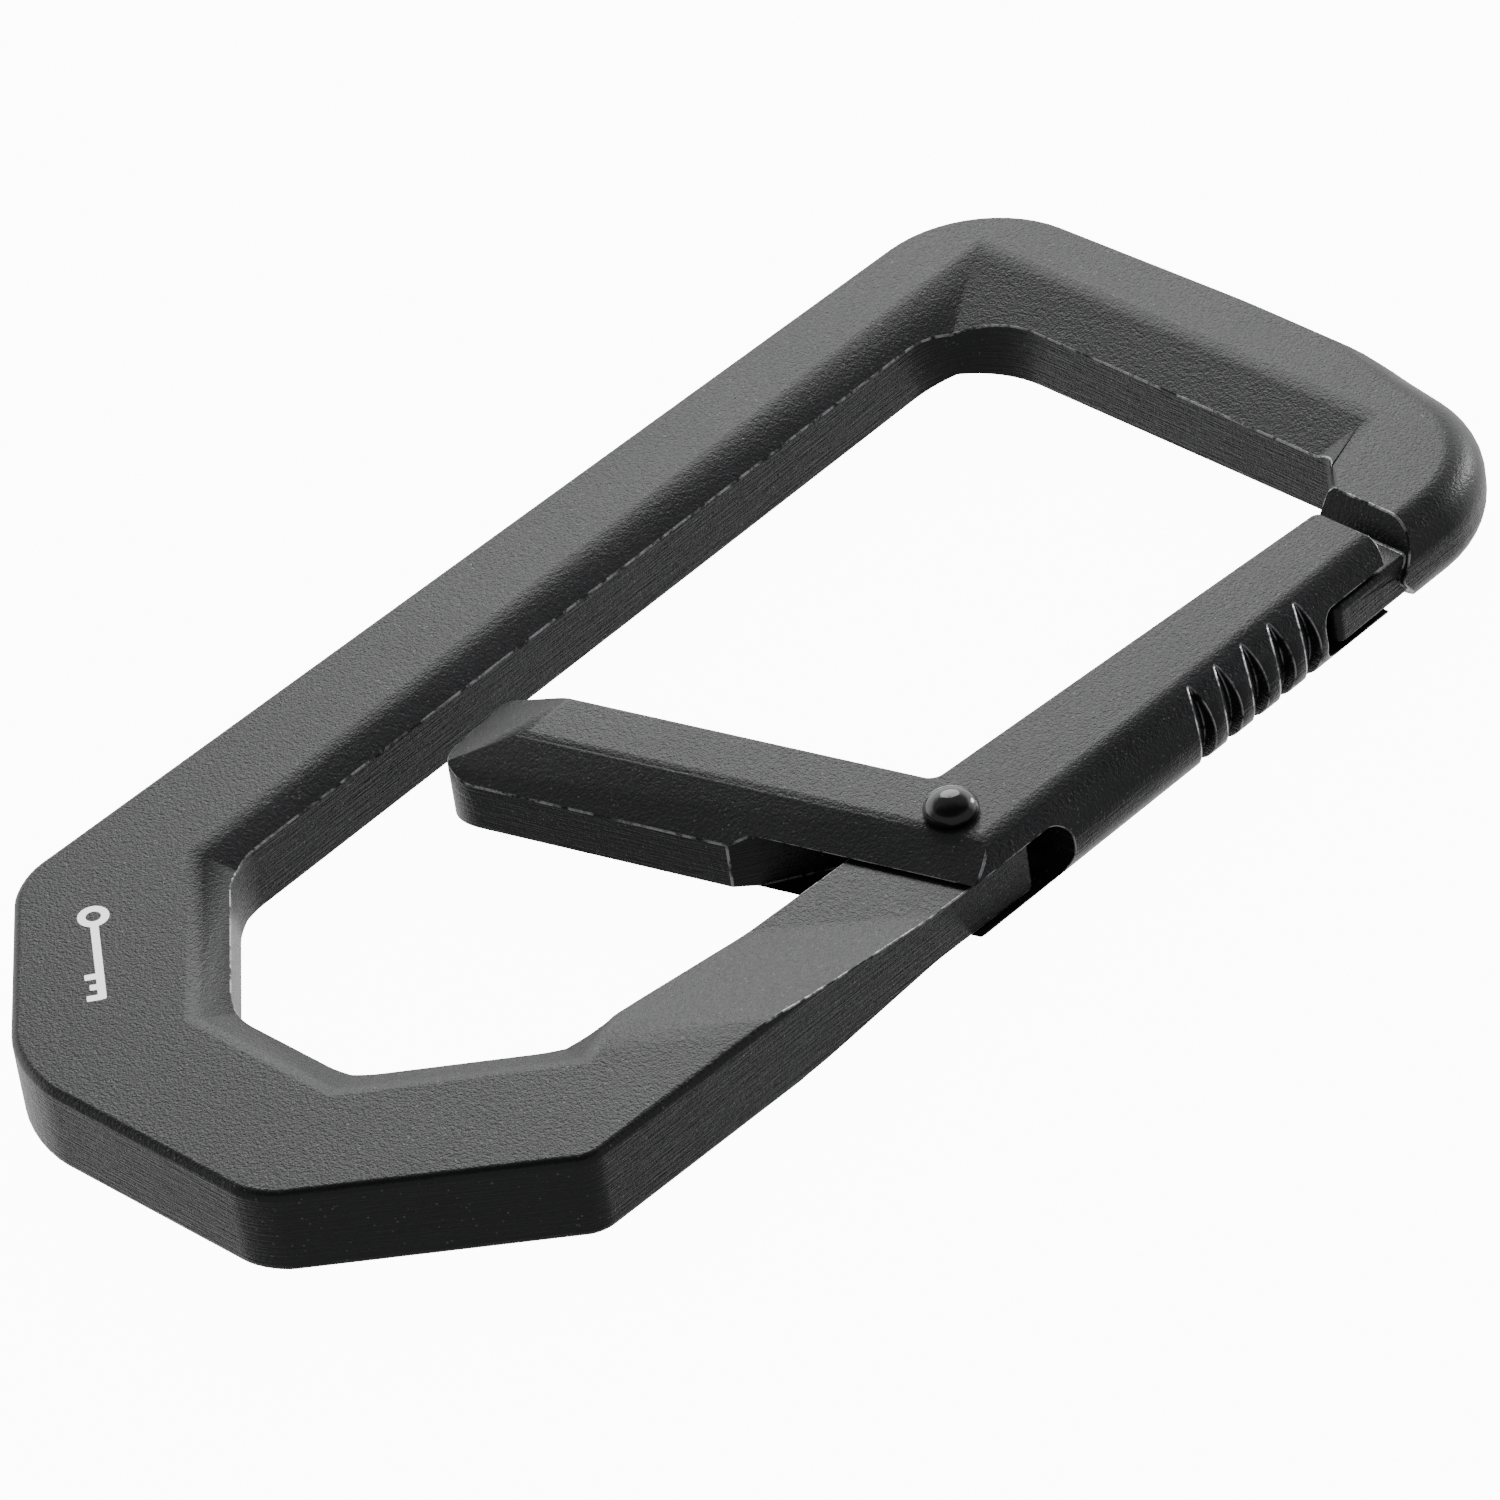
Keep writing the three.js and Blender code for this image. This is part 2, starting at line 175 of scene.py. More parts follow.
def block(name, corners, low, high):
    """A solid with upright walls round an outline and each corner rounded to its radius."""
    piece = outline(name, corners, low)
    edit(piece)
    bpy.ops.mesh.select_all(action="SELECT")
    bpy.ops.mesh.extrude_region_move(TRANSFORM_OT_translate={"value": (0, 0, high - low)})
    bpy.ops.mesh.select_all(action="SELECT")
    bpy.ops.mesh.normals_make_consistent(inside=False)
    count = len(corners)
    for i, corner in enumerate(corners):
        if len(corner) < 3:
            continue
        here = Vector(corner[:2])
        before = Vector(corners[i - 1][:2]) - here
        after = Vector(corners[(i + 1) % count][:2]) - here
        turning = math.pi - before.angle(after)
        reach = corner[2] * math.tan(turning / 2)

        def upright(edge, here=here):
            return all((vertex.co.xy - here).length < 1e-3 for vertex in edge.verts)

        pick(piece, "EDGE", upright)
        bpy.ops.mesh.bevel(
            offset_type="OFFSET",
            offset=reach,
            segments=max(4, math.ceil(math.degrees(turning) / 7)),
            profile=0.5,
            affect="EDGES",
        )
    done()
    return piece


def cross_block(name, corners, low, high):
    """A solid whose outline lies in X and Z, from y = low to y = high."""
    return put(block(name, corners, -high, -low), turn=(math.pi / 2, 0, 0))


def long_block(name, corners, low, high):
    """A solid whose outline lies in Y and Z, from x = low to x = high."""
    return put(block(name, corners, low, high), turn=(math.pi / 2, 0, math.pi / 2))


def is_rim(edge):
    """True for an edge between the top or bottom face and an upright wall."""
    if len(edge.link_faces) != 2:
        return False
    rises = sorted(abs(face.normal.z) for face in edge.link_faces)
    return rises[0] < 0.1 and rises[1] > 0.99


def round_rims(piece, width, segments=5):
    """Rounds the top and bottom rims."""
    edit(piece)
    pick(piece, "EDGE", is_rim)
    bpy.ops.mesh.bevel(offset_type="OFFSET", offset=width, segments=segments, profile=0.5, affect="EDGES")
    done()


def combine(piece, operation, *tools):
    """Cuts the tools from a piece, joins them to it or keeps what they share; the tools go."""
    for tool in tools:
        finish_modifier(piece, "BOOLEAN", object=tool, operation=operation, solver="EXACT")
        bpy.data.objects.remove(tool, do_unlink=True)
    return piece


def rod(name, radius, length, turn=(0, 0, 0), place=(0, 0, 0)):
    """A round bar with its middle at this place, upright unless it is turned."""
    only()
    bpy.ops.mesh.primitive_cylinder_add(
        vertices=ROD_SIDES, radius=radius, depth=length, location=place, rotation=turn
    )
    piece = bpy.context.object
    piece.name = name
    bpy.ops.object.transform_apply(location=True, rotation=True)
    return piece


def turned(name, profile, axis):
    """Spins a closed profile of points round an axis through the origin."""
    only()
    bpy.ops.mesh.primitive_circle_add(vertices=len(profile), radius=SPREAD, fill_type="NOTHING")
    piece = bpy.context.object
    piece.name = name
    edit(piece)
    place_points(piece, profile)
    bpy.ops.mesh.select_all(action="SELECT")
    bpy.ops.mesh.spin(steps=SPIN_STEPS, angle=2 * math.pi, center=(0, 0, 0), axis=axis)
    settle()
    bpy.ops.mesh.delete_loose(use_verts=True, use_edges=True, use_faces=False)
    done()
    return piece


def even_faces(piece):
    """Mirrors the upper half of a piece in its middle plane."""
    finish_modifier(
        piece,
        "MIRROR",
        use_axis=(False, False, True),
        use_bisect_axis=(False, False, True),
        use_bisect_flip_axis=(False, False, False),
        merge_threshold=0.001,
    )


def break_edges(piece, width):
    """Takes the sharpness off every edge that a cut has left, in the piece's second material."""
    edit(piece)
    settle()
    bpy.ops.mesh.select_all(action="SELECT")
    bpy.ops.mesh.dissolve_limited(angle_limit=math.radians(0.2))
    done()
    # The second material paints the broken edges as worn rims with a painted highlight.
    finish_modifier(
        piece,
        "BEVEL",
        width=width,
        limit_method="ANGLE",
        angle_limit=math.radians(32),
        segments=2,
        material=1,
        miter_outer="MITER_ARC",
        use_clamp_overlap=False,
    )


def bring_to_size(piece):
    """Takes a piece from millimetres round the hinge to its place in the model."""
    only(piece)
    piece.scale = (MM, MM, MM)
    piece.location = HINGE
    bpy.ops.object.transform_apply(location=True, rotation=True, scale=True)
    bpy.ops.object.shade_smooth_by_angle(angle=math.radians(34))
    finish_modifier(piece, "WEIGHTED_NORMAL", keep_sharp=True, weight=60, mode="FACE_AREA_WITH_ANGLE")


def grown(corners, by):
    """The corners of an outline moved outwards, so that each side moves by the same distance."""
    points = [Vector(corner) for corner in corners]
    following = points[1:] + points[:1]
    area = sum(here.x * after.y - after.x * here.y for here, after in zip(points, following))
    side = math.copysign(1, area)
    moved = []
    for i, here in enumerate(points):
        before = (here - points[i - 1]).normalized()
        after = (following[i] - here).normalized()
        out_before = Vector((before.y, -before.x)) * side
        out_after = Vector((after.y, -after.x)) * side
        moved.append(tuple(here + (out_before + out_after) * by / (1 + out_before.dot(out_after))))
    return moved


def on_divider(along, across):
    """A place given along and across the lever's divider, from the hinge pin."""
    cos = math.cos(DIVIDER_ANGLE)
    sin = math.sin(DIVIDER_ANGLE)
    return along * cos - across * sin, along * sin + across * cos


# ---------------------------------------------------------------- materials


class Value:
    """A shader socket that takes part in arithmetic: each operation adds a Math node."""

    def __init__(self, nodes, socket):
        self.nodes = nodes
        self.socket = socket

    def __add__(self, other):
        return self.nodes.maths("ADD", self, other)

    __radd__ = __add__

    def __sub__(self, other):
        return self.nodes.maths("SUBTRACT", self, other)

    def __rsub__(self, other):
        return self.nodes.maths("SUBTRACT", other, self)

    def __mul__(self, other):
        return self.nodes.maths("MULTIPLY", self, other)

    __rmul__ = __mul__

    def __abs__(self):
        return self.nodes.maths("ABSOLUTE", self)

    def ramp(self, low, high):
        """0 below low, 1 above high, and smooth between."""
        return self.nodes.node(
            "ShaderNodeMapRange",
            {"interpolation_type": "SMOOTHSTEP"},
            {"Value": self, "From Min": low, "From Max": high, "To Min": 0.0, "To Max": 1.0},
        )


class Nodes:
    """A node tree, of a material or of the surroundings, that is filled with values."""

    def __init__(self, tree):
        self.tree = tree

    def node(self, kind, settings=None, inputs=None, output=0):
        """Adds a node with these settings and inputs, and gives one of its outputs."""
        made = self.tree.nodes.new(kind)
        for name, value in (settings or {}).items():
            setattr(made, name, value)
        for name, value in (inputs or {}).items():
            self.plug(made.inputs[name], value)
        return Value(self, made.outputs[output])

    def plug(self, socket, value):
        """Links a value to a socket, or sets the socket to a plain number or colour."""
        if isinstance(value, Value):
            self.tree.links.new(value.socket, socket)
        else:
            socket.default_value = value

    def maths(self, operation, *values):
        """One step of arithmetic."""
        return self.node("ShaderNodeMath", {"operation": operation}, dict(enumerate(values)))


class Surface(Nodes):
    """A material and its nodes."""

    def __init__(self, name, viewport_colour):
        self.material = bpy.data.materials.new(name)
        self.material.use_nodes = True
        self.material.diffuse_color = viewport_colour
        super().__init__(self.material.node_tree)
        self.shader = self.tree.nodes["Principled BSDF"]

    def mix(self, factor, first, second):
        """A blend of two colours."""
        inputs = {0: factor, 6: first, 7: second}
        return self.node("ShaderNodeMix", {"data_type": "RGBA"}, inputs, output=2)

    def stretched(self, x, y, z):
        """The object's own coordinates in millimetres, stretched by these factors."""
        inputs = {0: self.node("ShaderNodeTexCoord", output=3), 1: (x / MM, y / MM, z / MM)}
        return self.node("ShaderNodeVectorMath", {"operation": "MULTIPLY"}, inputs)

    def noise(self, vector, scale, detail, roughness):
        """Noise between 0 and 1, with this many patches to the millimetre."""
        return self.node(
            "ShaderNodeTexNoise",
            {"noise_dimensions": "3D"},
            {"Vector": vector, "Scale": scale, "Detail": detail, "Roughness": roughness},
        )

    def bump(self, height, strength, distance):
        """A relief, its depth given in millimetres."""
        inputs = {"Strength": strength, "Distance": distance * MM, "Height": height}
        return self.node("ShaderNodeBump", None, inputs)

    def finish(self, **inputs):
        """Fills in the shader's inputs and gives the material."""
        names = {name.replace(" ", "_").lower(): name for name in self.shader.inputs.keys()}
        for name, value in inputs.items():
            self.plug(self.shader.inputs[names[name]], value)
        return self.material


def upright_mask(surface):
    """1 on upright walls, 0 on the flat faces."""
    normal = surface.node("ShaderNodeNewGeometry", output=1)
    rise = abs(surface.node("ShaderNodeSeparateXYZ", None, {0: normal}, output=2))
    return 1 - rise.ramp(0.05, 0.35)


def blasted_coat(name, finish, lines=1.0):
    """A black hard coat on bead-blasted metal: fine grain, saw lines on the walls, and sparse specks
    painted bright as glints.
    """
    surface = Surface(name, (0.02, 0.02, 0.023, 1))
    even = surface.stretched(1, 1, 1)
    grain = surface.noise(even, 4.6, 2.0, 0.6)
    fine = surface.noise(even, 9.0, 1.0, 0.5)
    coarse = surface.noise(even, 1.3, 2.0, 0.5)
    patches = surface.noise(even, 0.16, 3.0, 0.6)
    specks = surface.node("ShaderNodeTexVoronoi", {"feature": "F1"}, {"Vector": even, "Scale": 3.2})
    # Painted glints: sparse specks where the coat's colour is lifted towards bright grey to stand in for
    # sparkle; they are also made a little smoother.
    glint = (1 - specks.ramp(0.08, 0.24)) * surface.noise(even, 1.7, 1.0, 0.5).ramp(0.5, 0.6)
    wall = upright_mask(surface)
    streaks = surface.noise(surface.stretched(0.35, 0.35, 9), 1.0, 3.0, 0.6)
    dark = (*finish.coat_colour, 1)
    lighter = tuple(1.45 * channel for channel in finish.coat_colour) + (1,)
    colour = surface.mix(patches.ramp(0.35, 0.7) * 0.5, dark, lighter)
    # Paints the glint specks lighter in the coat's colour.
    colour = surface.mix(glint * finish.painted_glint_strength, colour, (*finish.painted_glint_colour, 1))
    uneven = (grain - 0.5) * 0.2 + (patches - 0.5) * 0.08
    rough = finish.coat_roughness + uneven - glint * 0.1 - wall * 0.05
    height = grain * 0.7 + fine * 0.5 + coarse * 0.15 + wall * streaks * lines * 3.2
    return surface.finish(
        base_color=colour,
        roughness=rough,
        normal=surface.bump(height, 0.6, finish.grain_depth),
    )


def rim_wear_and_highlight(name, finish):
    """Broken edges, lighter in short stretches: partly coat rubbed thin to bare metal, partly a painted
    highlight that stands in for glints along the rims.
    """
    surface = Surface(name, (*finish.rim_wear_and_highlight_colour, 1))
    even = surface.stretched(1, 1, 1)
    worn = surface.noise(even, 1.3, 3.0, 0.65).ramp(0.38, 0.58)
    grain = surface.noise(even, 5.0, 2.0, 0.6)
    return surface.finish(
        # Painted highlight and wear: the lighter rim colour in the worn stretches along every broken edge.
        base_color=surface.mix(worn, (*finish.coat_colour, 1), (*finish.rim_wear_and_highlight_colour, 1)),
        roughness=0.3 + (grain - 0.5) * 0.2,
        metallic=worn * 0.7,
        normal=surface.bump(grain, 0.4, finish.grain_depth),
    )


def gloss_black(name):
    """Glossy black over a peened head, with soft dents and a little dust."""
    surface = Surface(name, (0.01, 0.01, 0.012, 1))
    even = surface.stretched(1, 1, 1)
    dents = surface.noise(even, 1.3, 2.0, 0.5)
    dust = surface.noise(even, 9.0, 2.0, 0.6)
    clean = (0.008, 0.008, 0.009, 1)
    dusty = (0.03, 0.03, 0.033, 1)
    return surface.finish(
        base_color=surface.mix(dust.ramp(0.55, 0.75), clean, dusty),
        roughness=0.05 + dust * 0.1,
        metallic=0.35,
        coat_weight=1.0,
        coat_roughness=0.04,
        normal=surface.bump(dents + dust * 0.03, 0.5, 0.12),
    )


def bright_steel(name, colour):
    """Turned or drawn steel with fine lines and a trace of oil."""
    surface = Surface(name, (*colour, 1))
    even = surface.stretched(1, 1, 1)
    lines = surface.noise(surface.stretched(14, 1, 1), 1.0, 3.0, 0.6)
    oil = surface.noise(even, 0.8, 2.0, 0.5)
    worn = tuple(0.6 * channel for channel in colour)
    return surface.finish(
        base_color=surface.mix(oil.ramp(0.4, 0.7), (*colour, 1), (*worn, 1)),
        roughness=0.2 + lines * 0.25,
        metallic=1.0,
        normal=surface.bump(lines, 0.3, 0.01),
    )


def print_ink_with_painted_glow(name, colour):
    """Flat white printing ink, starved in places, with a painted glow that makes it shine a little of its
    own.
    """
    surface = Surface(name, (*colour, 1))
    even = surface.stretched(1, 1, 1)
    starved = surface.noise(even, 6.0, 3.0, 0.6)
    thin = tuple(0.72 * channel for channel in colour)
    return surface.finish(
        base_color=surface.mix(starved.ramp(0.5, 0.75), (*colour, 1), (*thin, 1)),
        roughness=0.5 + starved * 0.2,
        # Painted light: a faint glow makes the ink brighter than the lamps make it.
        emission_color=(1, 1, 1, 1),
        emission_strength=1.6,
        normal=surface.bump(starved, 0.3, 0.02),
    )


def pale_floor(name, brightness):
    """An even, pale paper sweep that shines of its own."""
    surface = Surface(name, (1, 1, 1, 1))
    fibre = surface.noise(surface.stretched(1, 1, 1), 0.4, 2.0, 0.5)
    paper = surface.mix(fibre.ramp(0.3, 0.7), (0.9, 0.9, 0.9, 1), (0.92, 0.92, 0.92, 1))
    return surface.finish(
        base_color=paper,
        roughness=0.9,
        emission_color=(1, 1, 1, 1),
        emission_strength=brightness,
    )


def wear(piece, *materials):
    """Gives a piece its materials, all its faces in the first."""
    piece.data.materials.clear()
    for material in materials:
        piece.data.materials.append(material)
    for face in piece.data.polygons:
        face.material_index = 0


# ---------------------------------------------------------------- settings


class KeyringSizes(bpy.types.PropertyGroup):
    """Sizes of the keyring's pieces, in millimetres."""

    thickness: bpy.props.FloatProperty(
        name="Plate thickness",
        description="Thickness of frame and lever",
        default=(HIGH.z - LOW.z) / MM,
        min=3,
    )
    edge_round: bpy.props.FloatProperty(
        name="Edge rounding",
        description="Width of the rounding on the outer rims",
        default=0.42,
        min=0.1,
    )
    half_round: bpy.props.FloatProperty(
        name="Half round",
        description="Radius of the half-round side of the lever and nose",
        default=2.35,
        min=0.5,
    )
    crease_round: bpy.props.FloatProperty(
        name="Crease radius",
        description="Radius of the soft crease beside each bevel",
        default=3.0,
        min=0.2,
    )
    broken_edge: bpy.props.FloatProperty(
        name="Broken edge",
        description="Width taken off sharp cut edges",
        default=0.075,
        min=0.0,
    )
    groove_count: bpy.props.IntProperty(
        name="Grooves",
        description="Number of thumb grooves on the lever",
        default=5,
        min=0,
        max=9,
    )
    groove_pitch: bpy.props.FloatProperty(
        name="Groove pitch",
        description="Distance from one thumb groove to the next",
        default=1.97,
        min=0.5,
    )
    pin_head: bpy.props.FloatProperty(
        name="Pin head radius",
        description="Radius of the pin's domed head",
        default=(PIN_HIGH.x - PIN_LOW.x) / 2 / MM,
        min=0.5,
    )
    mark_length: bpy.props.FloatProperty(
        name="Mark length",
        description="Length of the printed key mark",
        default=7.1,
        min=1,
    )


class KeyringFinish(bpy.types.PropertyGroup):
    """Colours and surface values of the keyring."""

    coat_colour: bpy.props.FloatVectorProperty(
        name="Coat",
        description="Colour of the hard coat",
        default=(0.019, 0.0195, 0.0225),
        subtype="COLOR",
        size=3,
    )
    # Colour of the painted glints: specks lightened in the coat's colour to stand in for sparkle.
    painted_glint_colour: bpy.props.FloatVectorProperty(
        name="Specks",
        description="Colour of bright specks",
        default=(0.35, 0.36, 0.38),
        subtype="COLOR",
        size=3,
    )
    # Lighter colour of the broken edges: partly rubbed coat, partly a painted rim highlight.
    rim_wear_and_highlight_colour: bpy.props.FloatVectorProperty(
        name="Rims",
        description="Colour where the coat is rubbed",
        default=(0.6, 0.6, 0.62),
        subtype="COLOR",
        size=3,
    )
    ink_colour: bpy.props.FloatVectorProperty(
        name="Ink",
        description="Colour of the printed mark",
        default=(0.85, 0.85, 0.85),
        subtype="COLOR",
        size=3,
    )
    coat_roughness: bpy.props.FloatProperty(
        name="Roughness",
        description="Roughness of the coat",
        default=0.31,
        min=0,
        max=1,
        subtype="FACTOR",
    )
    # How strongly the painted glints lighten the coat.
    painted_glint_strength: bpy.props.FloatProperty(
        name="Speck strength",
        description="How strongly specks show",
        default=0.5,
        min=0,
        max=1,
        subtype="FACTOR",
    )
    grain_depth: bpy.props.FloatProperty(
        name="Grain depth",
        description="Depth of the blasted grain in millimetres",
        default=0.06,
        min=0,
    )


class KeyringStage(bpy.types.PropertyGroup):
    """Camera and light."""

    target: bpy.props.FloatVectorProperty(
        name="Target",
        description="Point the camera looks at",
        default=(0.002243, 0.000923, 0),
        subtype="TRANSLATION",
    )
    distance: bpy.props.FloatProperty(
        name="Distance",
        description="Camera to target",
        default=0.5133,
        unit="LENGTH",
        min=0.05,
    )
    elevation: bpy.props.FloatProperty(
        name="Elevation",
        description="Camera height angle",
        default=math.radians(38),
        subtype="ANGLE",
    )
    heading: bpy.props.FloatProperty(
        name="Heading",
        description="Turn of the camera round the keyring",
        default=math.radians(42),
        subtype="ANGLE",
    )
    roll: bpy.props.FloatProperty(
        name="Roll",
        description="Tilt of the camera about its own line of sight",
        default=math.radians(8.7),
        subtype="ANGLE",
    )
    lens: bpy.props.FloatProperty(
        name="Lens",
        description="Focal length in millimetres",
        default=252,
        min=20,
    )
    floor_brightness: bpy.props.FloatProperty(
        name="Floor brightness",
        description="How bright the paper sweep looks",
        default=12.0,
        min=0,
    )
    horizon_light: bpy.props.FloatProperty(
        name="Light behind",
        description="Brightness of the low light behind the keyring",
        default=1.55,
        min=0,
    )
    overhead_light: bpy.props.FloatProperty(
        name="Overhead light",
        description="Brightness straight above",
        default=0.21,
        min=0,
    )
    front_light: bpy.props.FloatProperty(
        name="Front light",
        description="Light in front, as a share of that behind",
        default=0.2,
        min=0,
        max=1,
    )


# ---------------------------------------------------------------- pieces


class KEYRING_OT_frame(bpy.types.Operator):
    """Model the one-piece frame with its clip loop, key loop, nose and hinge tongue"""

    bl_idname = "keyring.make_frame"
    bl_label = "Make Frame"

    def execute(self, context):
        sizes = context.scene.keyring_sizes
        top = sizes.thickness / 2
        piece = block("frame_body_look", self.corners(), -top, top)
        round_rims(piece, sizes.edge_round)
        combine(piece, "INTERSECT", self.nose_envelope(sizes))
        combine(piece, "DIFFERENCE", self.leg_cut(top), self.bevel_cut(sizes))
        even_faces(piece)
        hole = rod("tongue_hole", 0.85, THROUGH)
        combine(piece, "DIFFERENCE", hole, self.nose_face_cut(top))
        combine(piece, "UNION", self.tab())
        finish = context.scene.keyring_finish
        wear(piece, blasted_coat("frame_coat", finish), rim_wear_and_highlight("frame_rim_wear_and_highlight", finish))
        break_edges(piece, sizes.broken_edge)
        bring_to_size(piece)
        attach(piece, "frame_body")
        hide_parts("frame")
        return {"FINISHED"}

    @staticmethod
    def corners():
        """The frame's outline round the hinge pin: outside first, then the tongue, then inside."""
        return [
            (27, GATE_SIDE),
            (39.25, GATE_SIDE, 7.5),
            (RIGHT, 15, 60),
            (38.75, 33.35, 6.5),
            (-29.5, SPINE_OUTSIDE, 4),
            (LEFT, 24.35, 7),
            (LEFT, 8.15, 3.5),
            (-28.4, -3.05, 1.8),
            (1.35, -3.7, 0.5),
            (1.45, 0.2, 1.2),
            (0.9, 1.5, 0.5),
            (-0.5, 1.8, 1),
            (-3, 2.65, 4),
            (-22.6, 3.55, 5),
            (-30.15, 11.05, 3.5),
            (-30.15, 19, 3.5),
            (-22.3, 26.85, 4),
            (NOSE_INSIDE, 27.5, 4.5),
            (NOSE_INSIDE, 3.3, 0.8),
            (29.9, 1.5),
            (27, 1.5),
        ]

    @staticmethod
    def nose_envelope(sizes):
        """Rolls the nose's gate side over into a half round and keeps all the rest."""
        top = sizes.thickness / 2
        piece = block("nose_envelope", [
            (22, GATE_SIDE),
            (38.2, GATE_SIDE, 7.6),
            (RIGHT + 0.3, 4.5, 12),
            (45, 26),
            (60, 50),
            (-60, 50),
            (-60, -14),
            (15, -14),
        ], -top, top)
        round_rims(piece, 0.9 * sizes.half_round, segments=12)
        return piece

    @staticmethod
    def leg_cut(top):
        """Slopes the leg down, from a slanting crease, to the tongue that the lever's slot holds."""
        tongue = 1.35
        slant = math.radians(42.2)
        cutter = cross_block("leg_cut", [
            (-20, top + CLEAR),
            (-14.4, top + CLEAR, 18),
            (-6.5, tongue, 5),
            (3, tongue),
            (3, top + 2),
            (-20, top + 2),
        ], -5, 19)
        return put(cutter, turn=(0, 0, slant))

    @staticmethod
    def bevel_cut(sizes):
        """The bevel round the openings: steep at the spine, none on the leg, shallow at the nose."""
        top = sizes.thickness / 2
        flange = 1.5
        run = 3.2
        drop = 1.3
        crease = [
            (-8.5, 4.6),
            (-23.4, 2.1),
            (-31.95, 10.4),
            (-31.95, 19.7),
            (-23.0, 28.5),
            (50, 29.9),
            (50, 8.2),
            (26, 0.5),
            (20, 4.6),
        ]
        cutter = block("bevel_cut", grown(crease, flange), top + CLEAR, top + 2)
        edit(cutter)
        pick(cutter, "FACE", lambda face: face.normal.z < -0.9)
        bpy.ops.mesh.inset(thickness=flange)
        bpy.ops.mesh.inset(thickness=run)
        bpy.ops.transform.translate(value=(0, 0, -drop))

        def on_crease(edge):
            slopes = sorted(face.normal.z for face in edge.link_faces)
            return slopes[0] < -0.999 and -0.99 < slopes[1] < -0.5 and middle_of(edge).z > top

        pick(cutter, "EDGE", on_crease)
        bpy.ops.mesh.bevel(offset_type="OFFSET", offset=sizes.crease_round / 6, segments=5, affect="EDGES")
        done()
        width = 3.55
        slope = 0.2
        depth = 1.5
        nose = NOSE_INSIDE + width
        shallow = cross_block("nose_slope", [
            (-60, top - depth),
            (nose - depth / slope, top - depth),
            (nose, top + CLEAR, 2 * sizes.crease_round),
            (nose + 3, top + CLEAR),
            (nose + 3, top + 3),
            (-60, top + 3),
        ], -12, 45)
        return combine(cutter, "INTERSECT", shallow)

    @staticmethod
    def nose_face_cut(top):
        """Cuts the nose's end to a blunt wedge."""
        face = 29.7
        slope = 0.73
        return cross_block("nose_face_cut", [
            (face - slope * top - 6, -top - 1),
            (face + slope, -top - 1),
            (face - slope * top, 0, 0.4),
            (face + slope, top + 1),
            (face - slope * top - 6, top + 1),
        ], -8, 4)

    @staticmethod
    def tab():
        """The latch tab that the lever's end closes over."""
        piece = block("tab", [
            (23.4, -4.15, 0.5),
            (33, -4.15),
            (33, -0.5),
            (23.4, -0.5, 0.5),
        ], -1.1, 1.1)
        round_rims(piece, 0.3, segments=4)
        return piece


